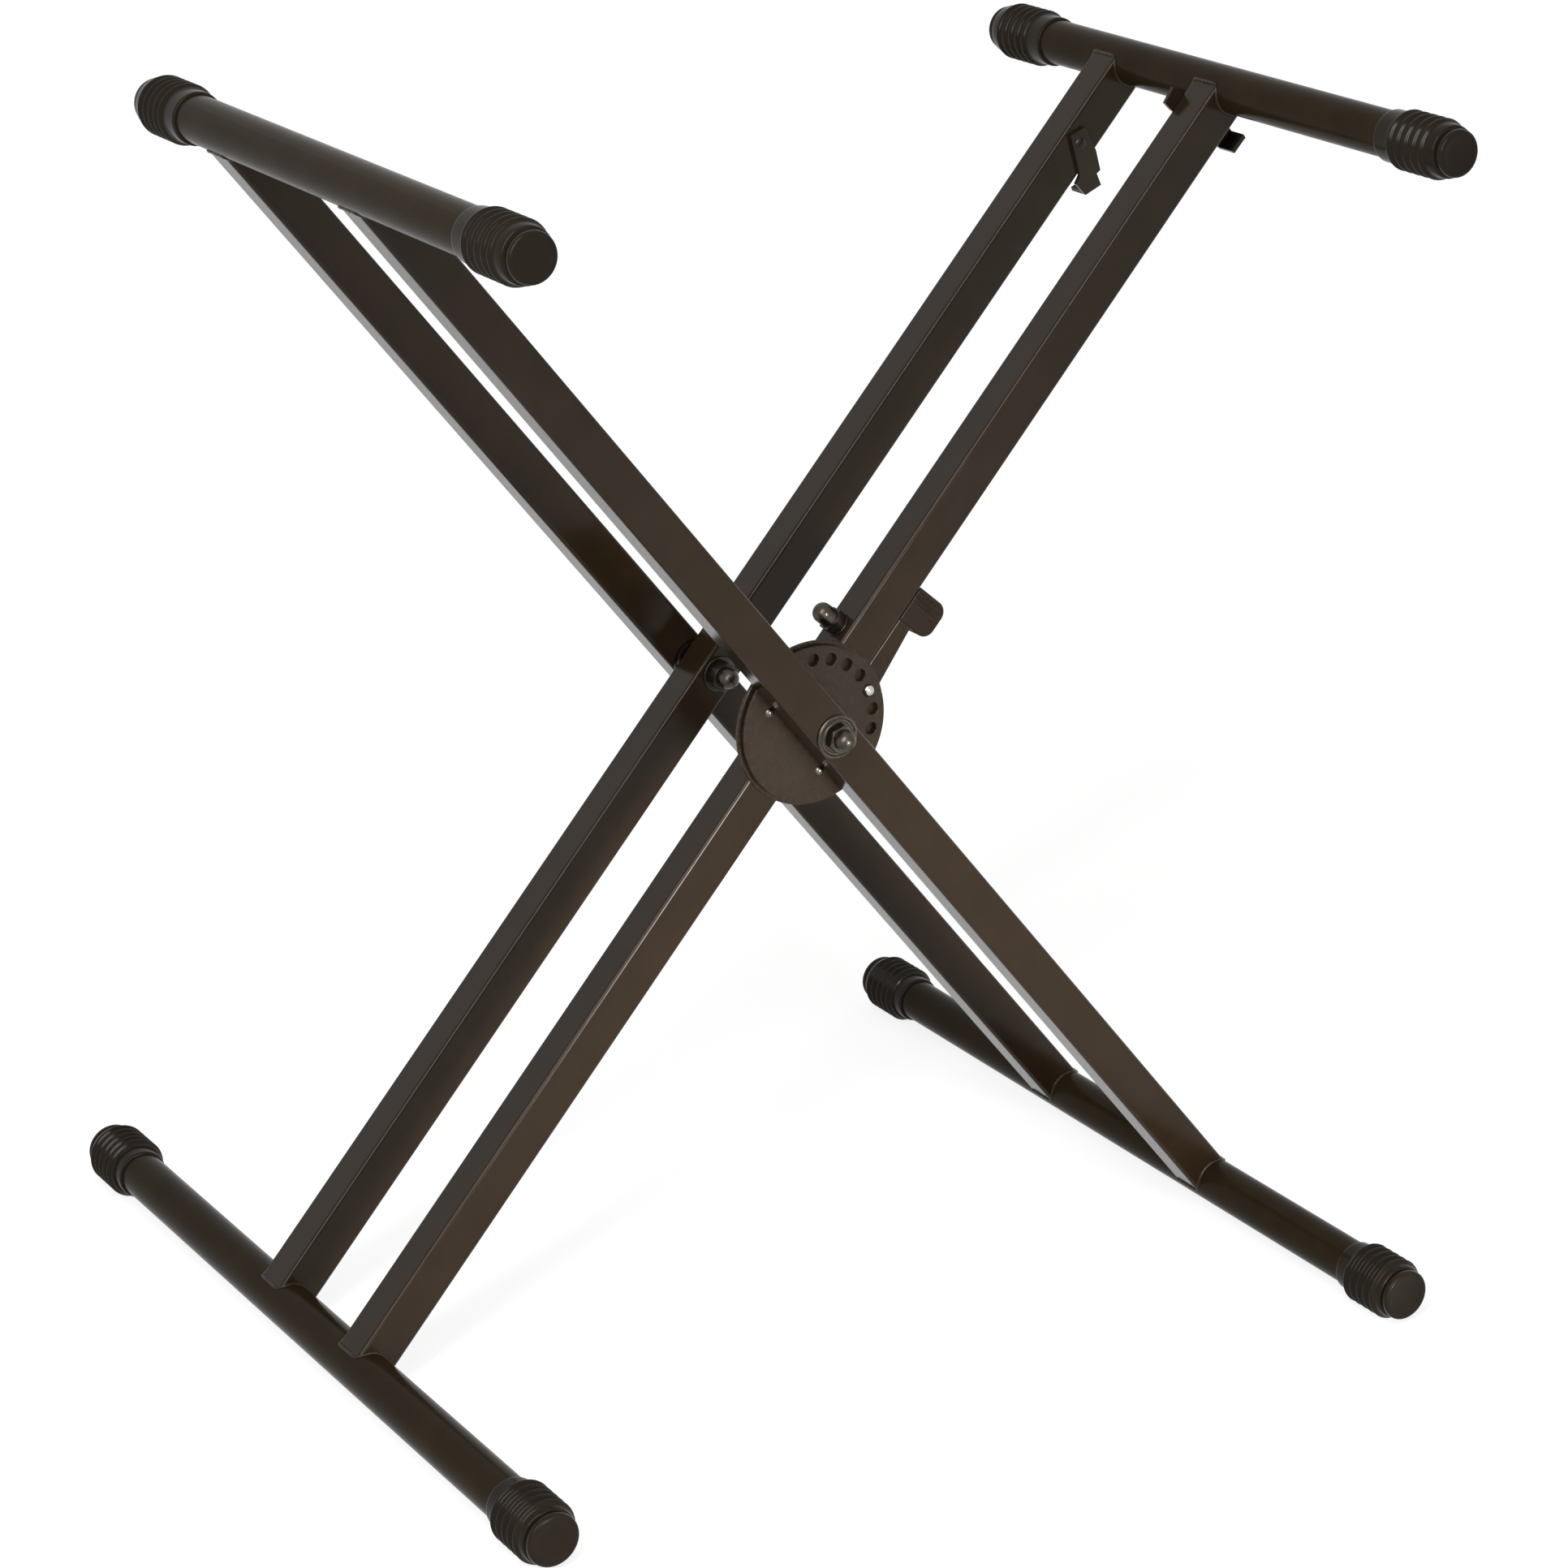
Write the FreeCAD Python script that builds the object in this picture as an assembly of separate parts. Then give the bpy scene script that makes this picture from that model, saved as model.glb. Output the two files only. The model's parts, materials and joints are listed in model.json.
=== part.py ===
import FreeCAD, Part
import math
import os

# Folding keyboard stand: two crossing frames of rectangular tube on round crossbars,
# joined by two pivot bolts, with a hole disc and a spring pin that lock the height.
# Millimetres. X runs along the span of the stand, Y from front to back, +Z is up.
# X = 0 is at the pivots, Y = 0 is near the middle of the feet, Z = 0 is the floor.

Vector = FreeCAD.Vector
ACROSS = Vector(1, 0, 0)
BACK = Vector(0, 1, 0)
UP = Vector(0, 0, 1)
ORIGIN = Vector(0, 0, 0)

# ---------------------------------------------------------------- driving dimensions

# Legs: rectangular tube, wide side in the plane of the X
LEG_WIDE = 30.0
LEG_DEEP = 28.0
LEG_WALL = 1.8
LEG_CORNER = 2.5

# Crossbars: 1 1/4 inch round tube, welded into the coped ends of the legs
BAR_RADIUS = 15.9
BAR_WALL = 1.8
PIVOT_TO_BAR = 521.4
HALF_ANGLE = 39.9

# End faces of the caps along Y
FOOT_FRONT = -346.0
FOOT_REAR = 338.0
TOP_FRONT = -329.5
TOP_REAR = 193.0

# Where the legs stand along Y, as the middle of each tube
OUTER_FRONT_MIDDLE = -109.0
INNER_FRONT_MIDDLE = -74.0
INNER_REAR_MIDDLE = 46.0
OUTER_REAR_MIDDLE = 81.0

# Rubber end caps: slim ones on the keyboard bars, short stout ones on the feet
CAP_END_WALL = 7.0
CAP_RIBS = 5
CAP_RIB_HALF = 1.2
CAP_SLEEVE_RADIUS = 17.6
TOP_CAP = {"length": 68.0, "face": 15.9, "rib": 20.4, "valley": 18.9, "first": 18.0, "pitch": 8.0}
FOOT_CAP = {"length": 58.0, "face": 18.0, "rib": 22.0, "valley": 20.3, "first": 14.0, "pitch": 7.3}
CAP_FLAT_DEPTH = 0.5

# Lock discs and the arc of height holes
DISC_THICK = 2.5
FRONT_DISC_RADIUS = 55.0
REAR_DISC_RADIUS = 57.5
HOLE_ARC_RADIUS = 45.8
HOLE_PITCH = 17.45
HOLES_EACH_SIDE = 3
HOLE_RADIUS = 4.35
HOLE_IN_USE = -1
DISC_RIVET_IN = -18.0
DISC_RIVETS_ALONG = (-28.3, 33.7)
DISC_RIVET_SHANK = 2.0
DISC_RIVET_HEAD = 3.3

# Lock pin, which slides along Y beside the front inner leg
PIN_RADIUS = 4.0
PIN_TIP = 2.8
NECK_RADIUS = 2.6
COLLAR_RADIUS = 5.0
COLLAR_SLOPE = 16.0
PIN_PLAY = 1.86
PIN_COLLAR_THICK = 4.0
RUNNING = 0.05

# Pivot bolts through the legs
BOLT_RADIUS = 6.0
BOLT_HEX = 18.0
BOLT_HEAD = 7.5
NUT_DOME = 7.4
NUT_BORE = 11.5
BOLT_IN_NUT = 11.0
FRONT_NUT_HEIGHT = 16.0
REAR_NUT_HEIGHT = 18.5
WASHER_THICK = 2.0
FRICTION_RADIUS = 30.0

# Squeeze trigger: a folded channel on a bolt across the front inner leg
TRIGGER_ALONG = 65.5
TRIGGER_INSIDE = 15.6
TRIGGER_SHEET = 2.0
TRIGGER_BEND = 2.6
TRIGGER_FRONT = -85.0
TRIGGER_BACK = -63.0
TRIGGER_FOOT = 31.0
TRIGGER_TOP = 93.0
TRIGGER_FOOT_EDGE = 36.2
TRIGGER_TOP_EDGE = 29.7
TRIGGER_FOOT_CORNER = 9.0
TRIGGER_CUT_BACK = 52.0
TRIGGER_BOLT_RADIUS = 5.0
TRIGGER_HEX = 13.0
TRIGGER_HEAD = 4.0
TRIGGER_ACCESS = 8.0
TRIGGER_NUT_HEX = 16.0
TRIGGER_NUT_HEIGHT = 21.5
NECK_SHIFT = 1.9

# Grip moulded over the upper end of the trigger
GRIP_FOOT = 92.4
GRIP_TOP = 119.0
GRIP_INSIDE = 15.7
GRIP_OUTSIDE = 45.9
GRIP_CORNER = 8.5
GRIP_FRONT = -86.0
GRIP_BACK = -64.5
GRIP_RIBS = 3
GRIP_RIB_PITCH = 3.4
GRIP_RIB_RADIUS = 1.2
TONGUE = (17.8, 27.2)
TONGUE_SHORT = 7.0

# Torsion spring on the trigger's bolt
SPRING_WIRE = 1.6
SPRING_RADIUS = 6.9
SPRING_TURNS = 3
SPRING_PITCH = 2.3
SPRING_START = 19.4
SPRING_ARM = 13.0
SPRING_TAIL = 6.0

# Clips: folded strip, riveted to the inner legs below the keyboard bar
CLIP_THICK = 3.0
CLIP_TAB = 14.0
CLIP_RIVET = 2.5
LOW_RIVET_ALONG = 452.0
HIGH_RIVET_ALONG = 496.5

# ------------------------------------------------------------------- derived places

BAR_HEIGHT = FOOT_CAP["rib"] - CAP_FLAT_DEPTH
SPAN = PIVOT_TO_BAR * math.sin(math.radians(HALF_ANGLE))
PIVOT_HEIGHT = BAR_HEIGHT + PIVOT_TO_BAR * math.cos(math.radians(HALF_ANGLE))
TOP_HEIGHT = 2 * PIVOT_HEIGHT - BAR_HEIGHT

INNER_FRONT_FACE = INNER_FRONT_MIDDLE - LEG_DEEP / 2
INNER_FRONT_BACK = INNER_FRONT_MIDDLE + LEG_DEEP / 2
OUTER_FRONT_FACE = OUTER_FRONT_MIDDLE - LEG_DEEP / 2
OUTER_FRONT_BACK = OUTER_FRONT_MIDDLE + LEG_DEEP / 2
INNER_REAR_FACE = INNER_REAR_MIDDLE - LEG_DEEP / 2
INNER_REAR_BACK = INNER_REAR_MIDDLE + LEG_DEEP / 2
OUTER_REAR_FACE = OUTER_REAR_MIDDLE - LEG_DEEP / 2
OUTER_REAR_BACK = OUTER_REAR_MIDDLE + LEG_DEEP / 2

# The pin stands in one hole of the arc, seen from the inner leg's own axes
PIN_ANGLE = 2 * HALF_ANGLE + HOLE_IN_USE * HOLE_PITCH
PIN_ASIDE = HOLE_ARC_RADIUS * math.cos(math.radians(PIN_ANGLE))
PIN_ALONG = HOLE_ARC_RADIUS * math.sin(math.radians(PIN_ANGLE))

os.makedirs("parts", exist_ok=True)


# ---------------------------------------------------------------------- small tools

def export(shape, name):
    """Write one node and report its volume."""
    shape.exportStep("parts/" + name + ".step")
    print(name, len(shape.Solids), "solid(s)", round(shape.Volume, 1), "mm3")


def on_frame(shape, lean):
    """Turn a shape from a leg's own axes (X across, Z along) to its lean, at the pivot."""
    placed = shape.copy()
    placed.rotate(ORIGIN, BACK, lean)
    placed.translate(Vector(0, 0, PIVOT_HEIGHT))
    return placed


def on_inner(shape):
    return on_frame(shape, HALF_ANGLE)


def on_outer(shape):
    return on_frame(shape, -HALF_ANGLE)


def rod(radius, start, end, x=0.0, z=0.0):
    """Round bar along Y."""
    return Part.makeCylinder(radius, end - start, Vector(x, start, z), BACK)


def cross_rod(radius, start, end, y, z):
    """Round bar along X."""
    return Part.makeCylinder(radius, end - start, Vector(start, y, z), ACROSS)


def box(x0, x1, y0, y1, z0, z1):
    return Part.makeBox(x1 - x0, y1 - y0, z1 - z0, Vector(x0, y0, z0))


def revolve(profile):
    """Turn a closed outline of (radius, distance along Y) points about the Y axis."""
    points = [Vector(radius, along, 0) for radius, along in profile]
    face = Part.Face(Part.makePolygon(points + points[:1]))
    return face.revolve(ORIGIN, BACK, 360)


def plate(outline, y0, y1):
    """Flat plate with an outline of (x, z) points, between two distances along Y."""
    points = [Vector(x, y0, z) for x, z in outline]
    face = Part.Face(Part.makePolygon(points + points[:1]))
    return face.extrude(Vector(0, y1 - y0, 0))


def rounded_wire(x0, x1, y0, y1, z, radius):
    """Closed outline of a rectangle with round corners, lying flat at height z."""
    edges = []
    corners = [(x1, y0, -90), (x1, y1, 0), (x0, y1, 90), (x0, y0, 180)]
    last = None
    first = None
    for x, y, start in corners:
        centre = Vector(
            x - radius if x == x1 else x + radius,
            y - radius if y == y1 else y + radius,
            z,
        )
        arc = Part.makeCircle(radius, centre, UP, start, start + 90)
        if last is not None:
            edges.append(Part.makeLine(last, arc.valueAt(arc.FirstParameter)))
        else:
            first = arc.valueAt(arc.FirstParameter)
        edges.append(arc)
        last = arc.valueAt(arc.LastParameter)
    edges.append(Part.makeLine(last, first))
    return Part.Wire(edges)


def washer(outer, inner, y0, y1):
    return rod(outer, y0, y1).cut(rod(inner, y0 - 1, y1 + 1))


def hexagon(flats, y0, y1):
    """Hexagon bar along Y with the corners of its free end (y0) turned off."""
    corner = flats / math.sqrt(3)
    outline = []
    for k in range(6):
        angle = math.radians(60 * k)
        outline.append((corner * math.cos(angle), corner * math.sin(angle)))
    bar = plate(outline, y0, y1)
    cut_back = (corner - flats / 2) * math.tan(math.radians(30))
    turned = revolve([
        (0, y0), (flats / 2, y0), (corner, y0 + cut_back), (corner, y1), (0, y1),
    ])
    return bar.common(turned)


def cap_nut(flats, nut_height, dome_radius, full_height, bore, bore_depth):
    """Domed nut: seat at Y = 0, hexagon, then a dome that ends at Y = -full_height."""
    body = hexagon(flats, -nut_height, 0)
    straight = full_height - dome_radius
    dome = rod(dome_radius, -straight, -nut_height + 1)
    dome = dome.fuse(Part.makeSphere(dome_radius, Vector(0, -straight, 0)))
    nut = body.fuse(dome).removeSplitter()
    return nut.cut(rod(bore, -bore_depth, 1))


def rivet(head_radius, head_height, shank_radius, shank_length):
    """Rivet along Y: the dome stands out towards -Y, and the shank runs back from Y = 0."""
    ball = (head_radius ** 2 + head_height ** 2) / (2 * head_height)
    dome = Part.makeSphere(ball, Vector(0, ball - head_height, 0))
    dome = dome.common(rod(head_radius, -head_height - 1, 0))
    return dome.fuse(rod(shank_radius, -0.2, shank_length)).removeSplitter()


# --------------------------------------------------------------------------- frames

def leg(middle):
    """Hollow leg along Z with both ends coped to the crossbars and a pivot bore."""
    front = middle - LEG_DEEP / 2
    back = middle + LEG_DEEP / 2
    half = LEG_WIDE / 2
    outside = Part.Face(rounded_wire(-half, half, front, back, -PIVOT_TO_BAR, LEG_CORNER))
    inside = Part.Face(rounded_wire(
        -half + LEG_WALL, half - LEG_WALL, front + LEG_WALL, back - LEG_WALL,
        -PIVOT_TO_BAR, LEG_CORNER - LEG_WALL,
    ))
    tube = outside.cut(inside).extrude(Vector(0, 0, 2 * PIVOT_TO_BAR))
    for end in (-PIVOT_TO_BAR, PIVOT_TO_BAR):
        tube = tube.cut(rod(BAR_RADIUS, front - 1, back + 1, 0, end))
    return tube.cut(rod(BOLT_RADIUS + RUNNING, front - 1, back + 1))


def crossbar(front, rear, end):
    """Round tube along Y at one end of the legs, reaching to the end walls of its caps."""
    y0 = front + CAP_END_WALL
    y1 = rear - CAP_END_WALL
    bar = rod(BAR_RADIUS, y0, y1, 0, end)
    return bar.cut(rod(BAR_RADIUS - BAR_WALL, y0 - 1, y1 + 1, 0, end))


def end_cap(cap):
    """Ribbed rubber cap: a flat button, a groove behind it, ribs, then a plain sleeve."""
    face, valley, pitch = cap["face"], cap["valley"], cap["pitch"]
    profile = [
        (0, 0), (face - 2.4, 0), (face - 0.8, 0.7), (face, 2.4), (face, 4.6),
        (face - 1.9, 5.4), (face - 1.9, 6.4), (valley - 1.0, 7.0),
        (valley, cap["first"] - pitch / 2),
    ]
    for k in range(CAP_RIBS):
        middle = cap["first"] + k * pitch
        profile += [
            (cap["rib"], middle - CAP_RIB_HALF),
            (cap["rib"], middle + CAP_RIB_HALF),
            (valley, middle + pitch / 2),
        ]
    profile += [
        (CAP_SLEEVE_RADIUS + 0.6, middle + pitch / 2 + 2.0),
        (CAP_SLEEVE_RADIUS, cap["length"]), (BAR_RADIUS, cap["length"]),
        (BAR_RADIUS, CAP_END_WALL), (0, CAP_END_WALL),
    ]
    return revolve(profile)


def cap_at(x, z, y, front):
    """One cap on a bar end, with a flat worn on its ribs where a foot stands."""
    cap = end_cap(FOOT_CAP if z < PIVOT_HEIGHT else TOP_CAP)
    if not front:
        cap.rotate(ORIGIN, UP, 180)
    cap.translate(Vector(x, y, z))
    if z < PIVOT_HEIGHT:
        cap = cap.cut(box(x - 40, x + 40, y - 90, y + 90, -5, 0))
    return cap


def export_frame(prefix, place, lean, middles):
    """Legs, crossbars and caps of one frame."""
    for name, middle in middles:
        tube = leg(middle)
        if prefix == "inner" and name == "front":
            bore = TRIGGER_BOLT_RADIUS + RUNNING
            tube = tube.cut(cross_rod(bore, -20, 20, middle, TRIGGER_ALONG))
        export(place(tube), prefix + "_leg_" + name)
    export(place(crossbar(TOP_FRONT, TOP_REAR, PIVOT_TO_BAR)), prefix + "_top_crossbar")
    export(place(crossbar(FOOT_FRONT, FOOT_REAR, -PIVOT_TO_BAR)), prefix + "_foot_crossbar")
    top_x = lean * SPAN
    export(cap_at(top_x, TOP_HEIGHT, TOP_FRONT, True), prefix + "_cap_top_front")
    export(cap_at(top_x, TOP_HEIGHT, TOP_REAR, False), prefix + "_cap_top_rear")
    export(cap_at(-top_x, BAR_HEIGHT, FOOT_FRONT, True), prefix + "_cap_foot_front")
    export(cap_at(-top_x, BAR_HEIGHT, FOOT_REAR, False), prefix + "_cap_foot_rear")


# --------------------------------------------------------------- discs and lock holes

def front_disc():
    """Disc on the front outer leg, with an arc of holes, one for each height."""
    y1 = OUTER_FRONT_BACK + DISC_THICK
    disc = washer(FRONT_DISC_RADIUS, BOLT_RADIUS + RUNNING, OUTER_FRONT_BACK, y1)
    for k in range(-HOLES_EACH_SIDE, HOLES_EACH_SIDE + 1):
        angle = math.radians(k * HOLE_PITCH)
        x = HOLE_ARC_RADIUS * math.cos(angle)
        z = HOLE_ARC_RADIUS * math.sin(angle)
        disc = disc.cut(rod(HOLE_RADIUS, OUTER_FRONT_BACK - 1, y1 + 1, x, z))
    for z in DISC_RIVETS_ALONG:
        bore = rod(DISC_RIVET_SHANK, OUTER_FRONT_BACK - 1, y1 + 1, DISC_RIVET_IN, z)
        disc = disc.cut(bore)
    return disc


def disc_rivets():
    rivets = []
    for z in DISC_RIVETS_ALONG:
        one = rivet(DISC_RIVET_HEAD, 2.0, DISC_RIVET_SHANK, DISC_THICK)
        one.translate(Vector(DISC_RIVET_IN, OUTER_FRONT_BACK, z))
        rivets.append(one)
    return Part.makeCompound(rivets)


def rear_disc():
    """Disc on the front inner leg, with the one bore that guides the lock pin."""
    y0 = INNER_FRONT_FACE - DISC_THICK
    disc = washer(REAR_DISC_RADIUS, BOLT_RADIUS + RUNNING, y0, INNER_FRONT_FACE)
    return disc.cut(rod(PIN_RADIUS + RUNNING, y0 - 1, INNER_FRONT_FACE + 1, PIN_ASIDE, PIN_ALONG))


# --------------------------------------------------------------------- pivot hardware

def bolt_with_head(radius, seat, end):
    """Bolt along Y: hex head behind the seat, shank forward to the end."""
    head = hexagon(BOLT_HEX, -BOLT_HEAD, 0)
    head.rotate(ORIGIN, UP, 180)
    head.translate(Vector(0, seat, 0))
    return head.fuse(rod(radius, end, seat + 0.5)).removeSplitter()


def export_front_pivot():
    bore = BOLT_RADIUS + RUNNING
    face = OUTER_FRONT_FACE
    nut_seat = face - WASHER_THICK
    head_seat = INNER_FRONT_BACK + WASHER_THICK
    ring = revolve([
        (bore, nut_seat), (10.5, nut_seat), (11.2, nut_seat + 0.6), (12.6, nut_seat + 0.6),
        (13.3, nut_seat), (14.6, nut_seat), (15.3, nut_seat + 0.8), (15.3, face), (bore, face),
    ])
    nut = cap_nut(BOLT_HEX, 6.5, NUT_DOME, FRONT_NUT_HEIGHT, BOLT_RADIUS, NUT_BORE)
    nut.translate(Vector(0, nut_seat, 0))
    middle = OUTER_FRONT_BACK + DISC_THICK
    bolt = bolt_with_head(BOLT_RADIUS, head_seat, nut_seat - BOLT_IN_NUT)
    export(on_inner(bolt), "front_pivot_bolt")
    export(on_inner(ring), "front_pivot_washer")
    export(on_inner(nut), "front_pivot_cap_nut")
    export(on_inner(washer(13, bore, INNER_FRONT_BACK, head_seat)), "front_pivot_head_washer")
    gap_end = INNER_FRONT_FACE - DISC_THICK
    export(on_inner(washer(FRICTION_RADIUS, bore, middle, gap_end)), "front_friction_washer")


def export_rear_pivot():
    bore = BOLT_RADIUS + RUNNING
    nut_seat = INNER_REAR_FACE - WASHER_THICK
    head_seat = OUTER_REAR_BACK + WASHER_THICK
    nut = cap_nut(BOLT_HEX, 8.5, NUT_DOME, REAR_NUT_HEIGHT, BOLT_RADIUS, NUT_BORE)
    nut.translate(Vector(0, nut_seat, 0))
    bolt = bolt_with_head(BOLT_RADIUS, head_seat, nut_seat - BOLT_IN_NUT)
    export(on_inner(bolt), "rear_pivot_bolt")
    export(on_inner(washer(12.5, bore, nut_seat, INNER_REAR_FACE)), "rear_pivot_washer")
    export(on_inner(nut), "rear_pivot_cap_nut")
    export(on_inner(washer(13, bore, OUTER_REAR_BACK, head_seat)), "rear_pivot_head_washer")
    spacers = [
        washer(16, bore, INNER_REAR_BACK, INNER_REAR_BACK + DISC_THICK),
        washer(16, bore, OUTER_REAR_FACE - DISC_THICK, OUTER_REAR_FACE),
    ]
    export(on_inner(Part.makeCompound(spacers)), "rear_spacer_washers")
    y0 = INNER_REAR_BACK + DISC_THICK
    y1 = OUTER_REAR_FACE - DISC_THICK
    export(on_inner(washer(15, bore, y0, y1)), "rear_friction_washer")


# ---------------------------------------------------------------------------- lock pin

def lock_pin():
    """Stepped pin: domed tip, guide length, collar, and a neck through the trigger."""
    tip = OUTER_FRONT_BACK - PIN_TIP
    web = TRIGGER_FRONT + TRIGGER_SHEET / 2
    play = PIN_PLAY
    slope = (COLLAR_RADIUS - NECK_RADIUS) * math.tan(math.radians(COLLAR_SLOPE))
    collar_front = INNER_FRONT_FACE + 0.1
    pin = revolve([
        (0, tip), (1.6, tip + 0.2), (3.0, tip + 0.8), (3.7, tip + 1.6), (PIN_RADIUS, tip + 2.6),
        (PIN_RADIUS, collar_front), (COLLAR_RADIUS, collar_front),
        (COLLAR_RADIUS, web - play - slope), (NECK_RADIUS, web - play),
        (NECK_RADIUS, web + play + PIN_COLLAR_THICK + 1.2),
        (0, web + play + PIN_COLLAR_THICK + 1.2),
    ])
    pin.translate(Vector(PIN_ASIDE, 0, PIN_ALONG))
    collar = revolve([
        (NECK_RADIUS, web + play), (COLLAR_RADIUS, web + play + slope),
        (COLLAR_RADIUS, web + play + PIN_COLLAR_THICK),
        (NECK_RADIUS, web + play + PIN_COLLAR_THICK),
    ])
    collar.translate(Vector(PIN_ASIDE, 0, PIN_ALONG))
    return pin, collar


# ----------------------------------------------------------------------------- trigger

def channel_outline(outside, z):
    """U outline of the folded channel at one height: open at the back, round bends."""
    x0 = TRIGGER_INSIDE
    x1 = outside
    t = TRIGGER_SHEET
    y0 = TRIGGER_FRONT
    y1 = TRIGGER_BACK
    r = TRIGGER_BEND
    q = r - t
    edges = []

    def line(ax, ay, bx, by):
        edges.append(Part.makeLine(Vector(ax, ay, z), Vector(bx, by, z)))

    def bend(cx, cy, radius, start):
        edges.append(Part.makeCircle(radius, Vector(cx, cy, z), UP, start, start + 90))

    line(x0, y1, x0, y0 + r)
    bend(x0 + r, y0 + r, r, 180)
    line(x0 + r, y0, x1 - r, y0)
    bend(x1 - r, y0 + r, r, 270)
    line(x1, y0 + r, x1, y1)
    line(x1, y1, x1 - t, y1)
    line(x1 - t, y1, x1 - t, y0 + r)
    bend(x1 - r, y0 + r, q, 270)
    line(x1 - r, y0 + t, x0 + r, y0 + t)
    bend(x0 + r, y0 + r, q, 180)
    line(x0 + t, y0 + r, x0 + t, y1)
    line(x0 + t, y1, x0, y1)
    return Part.Wire(Part.__sortEdges__(edges))


def trigger_lever():
    """Folded channel: bolt bores, a slot round the pin's neck, a tongue into the grip."""
    foot = channel_outline(TRIGGER_FOOT_EDGE, TRIGGER_FOOT)
    top = channel_outline(TRIGGER_TOP_EDGE, TRIGGER_TOP)
    lever = Part.makeLoft([foot, top], True, True)
    # the side by the leg stops short of the pin's collar
    web_back = TRIGGER_FRONT + TRIGGER_SHEET
    side_back = TRIGGER_INSIDE + TRIGGER_SHEET + 1.2
    lever = lever.cut(box(0, side_back, web_back, TRIGGER_BACK + 1, 0, TRIGGER_CUT_BACK))
    # the foot of the lever is rounded off
    shape = rounded_wire(
        TRIGGER_INSIDE - TRIGGER_FOOT_CORNER, TRIGGER_FOOT_EDGE + 0.2, TRIGGER_FOOT, GRIP_TOP + 20,
        0, TRIGGER_FOOT_CORNER,
    )
    keep = Part.Face(shape).extrude(Vector(0, 0, 40))
    keep.rotate(ORIGIN, ACROSS, 90)
    keep.translate(Vector(0, TRIGGER_BACK + 5, 0))
    lever = lever.common(keep)
    x0, x1 = TONGUE
    tongue = box(x0, x1, TRIGGER_FRONT, web_back, TRIGGER_TOP - 2, GRIP_TOP - TONGUE_SHORT)
    lever = lever.fuse(tongue)
    # the slot lets the neck shift towards the bolt as the lever tilts
    width = NECK_RADIUS + 0.2
    low = PIN_ALONG - 0.15
    high = PIN_ALONG + NECK_SHIFT + 0.45
    slot = box(PIN_ASIDE - width, PIN_ASIDE + width, TRIGGER_FRONT - 1, web_back + 1, low, high)
    for z in (low, high):
        slot = slot.fuse(rod(width, TRIGGER_FRONT - 1, web_back + 1, PIN_ASIDE, z))
    lever = lever.cut(slot)
    # a bore by the leg, and a wide one outside through which the bolt's head is reached
    bore = TRIGGER_BOLT_RADIUS + RUNNING
    middle = (TRIGGER_INSIDE + TRIGGER_FOOT_EDGE) / 2
    lever = lever.cut(cross_rod(bore, 0, middle, INNER_FRONT_MIDDLE, TRIGGER_ALONG))
    lever = lever.cut(cross_rod(TRIGGER_ACCESS, middle, 60, INNER_FRONT_MIDDLE, TRIGGER_ALONG))
    return lever.removeSplitter()


def trigger_grip():
    """Moulded grip: a block with a rounded nose, soft edges and finger ribs."""
    r = GRIP_CORNER
    small = 2.0
    x0, x1 = GRIP_INSIDE, GRIP_OUTSIDE
    z0, z1 = GRIP_FOOT, GRIP_TOP
    y = GRIP_FRONT
    half = math.sqrt(0.5)
    edges = [
        Part.makeLine(Vector(x0 + small, y, z0), Vector(x1 - r, y, z0)),
        Part.Arc(
            Vector(x1 - r, y, z0), Vector(x1 - r + r * half, y, z0 + r - r * half),
            Vector(x1, y, z0 + r),
        ).toShape(),
        Part.makeLine(Vector(x1, y, z0 + r), Vector(x1, y, z1 - r)),
        Part.Arc(
            Vector(x1, y, z1 - r), Vector(x1 - r + r * half, y, z1 - r + r * half),
            Vector(x1 - r, y, z1),
        ).toShape(),
        Part.makeLine(Vector(x1 - r, y, z1), Vector(x0 + small, y, z1)),
        Part.Arc(
            Vector(x0 + small, y, z1), Vector(x0 + small * (1 - half), y, z1 - small * (1 - half)),
            Vector(x0, y, z1 - small),
        ).toShape(),
        Part.makeLine(Vector(x0, y, z1 - small), Vector(x0, y, z0 + small)),
        Part.Arc(
            Vector(x0, y, z0 + small), Vector(x0 + small * (1 - half), y, z0 + small * (1 - half)),
            Vector(x0 + small, y, z0),
        ).toShape(),
    ]
    block = Part.Face(Part.Wire(edges)).extrude(Vector(0, GRIP_BACK - GRIP_FRONT, 0))
    rims = [e for e in block.Edges if abs(e.CenterOfMass.y - e.Vertexes[0].Point.y) < 0.01]
    grip = block.makeFillet(1.6, rims)
    for k in range(GRIP_RIBS):
        z = GRIP_TOP - 2.8 - k * GRIP_RIB_PITCH
        rib = cross_rod(GRIP_RIB_RADIUS, x0 + 1.6, x1 - 4.6, GRIP_FRONT + 0.4, z)
        grip = grip.fuse(rib)
    web_back = TRIGGER_FRONT + TRIGGER_SHEET
    grip = grip.cut(box(0, TRIGGER_FOOT_EDGE, TRIGGER_FRONT, GRIP_BACK + 1, 0, TRIGGER_TOP))
    t0, t1 = TONGUE
    pocket = box(t0, t1, TRIGGER_FRONT, web_back, 0, GRIP_TOP - TONGUE_SHORT)
    return grip.cut(pocket).removeSplitter()


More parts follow.
